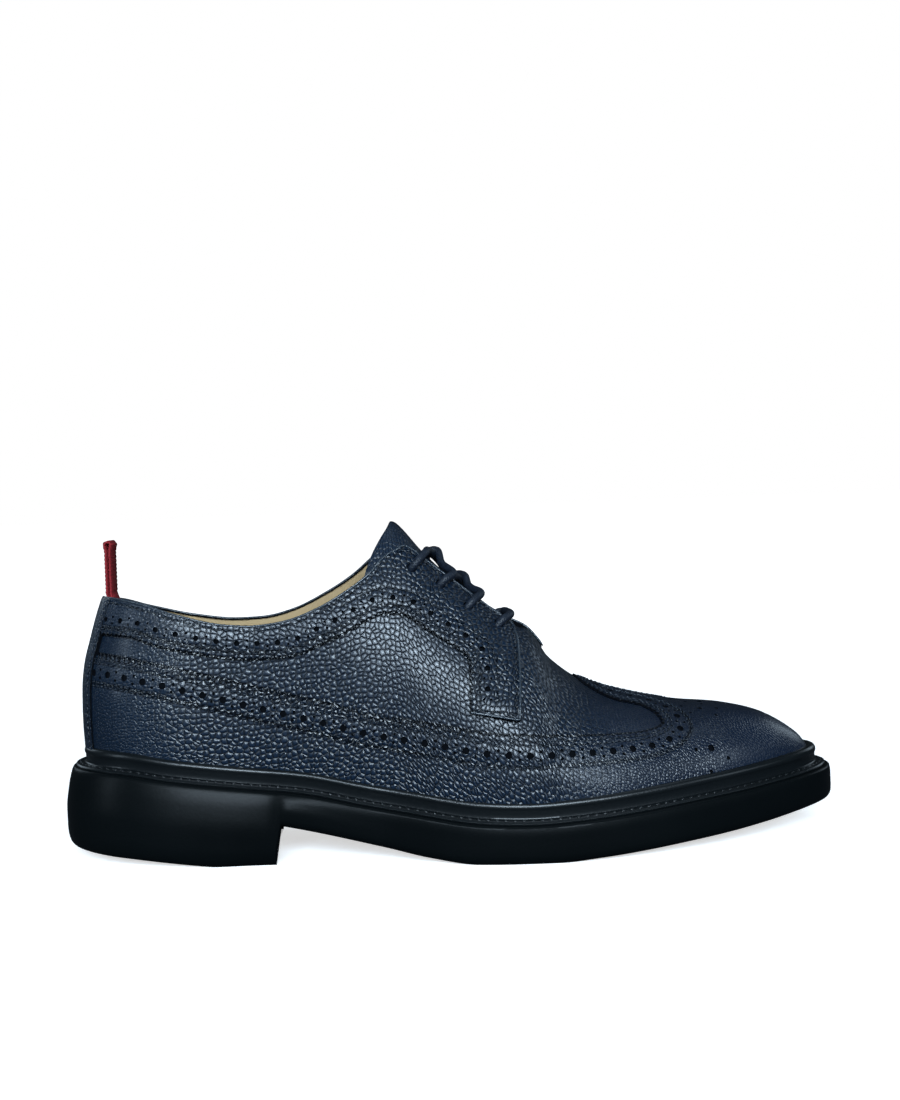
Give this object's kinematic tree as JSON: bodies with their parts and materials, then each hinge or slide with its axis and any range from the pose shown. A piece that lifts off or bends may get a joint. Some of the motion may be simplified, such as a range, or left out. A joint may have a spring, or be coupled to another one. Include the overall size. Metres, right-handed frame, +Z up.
{
  "type": "longwing brogue",
  "caption": "Longwing derby brogue for the right foot in pebbled navy leather, on a thick dark rubber sole with a moulded heel and an upright pull loop.",
  "frame": {"origin": "on the floor under the middle of the sole's length and width", "axes": "+X to the toe, +Y to the inner side of the foot, +Z up"},
  "size_m": [0.306, 0.1029, 0.1264],
  "materials": {
    "leather": "dark navy pebble-grain leather with a soft shine, brushed smoother at the toe",
    "rubber": "near-black satin moulded rubber",
    "lining": "tan smooth lining leather",
    "lace": "round waxed dark navy lace",
    "tape": "plain dark red ribbed tape"
  },
  "bodies": {
    "root": {"outsole": "rubber", "welt": "rubber", "insole": "lining", "upper": "leather", "tongue": "leather", "lace_bar": "lace", "lace_cross_lower": "lace", "lace_cross_upper": "lace", "pull_loop": "tape"}
  },
  "joints": []
}
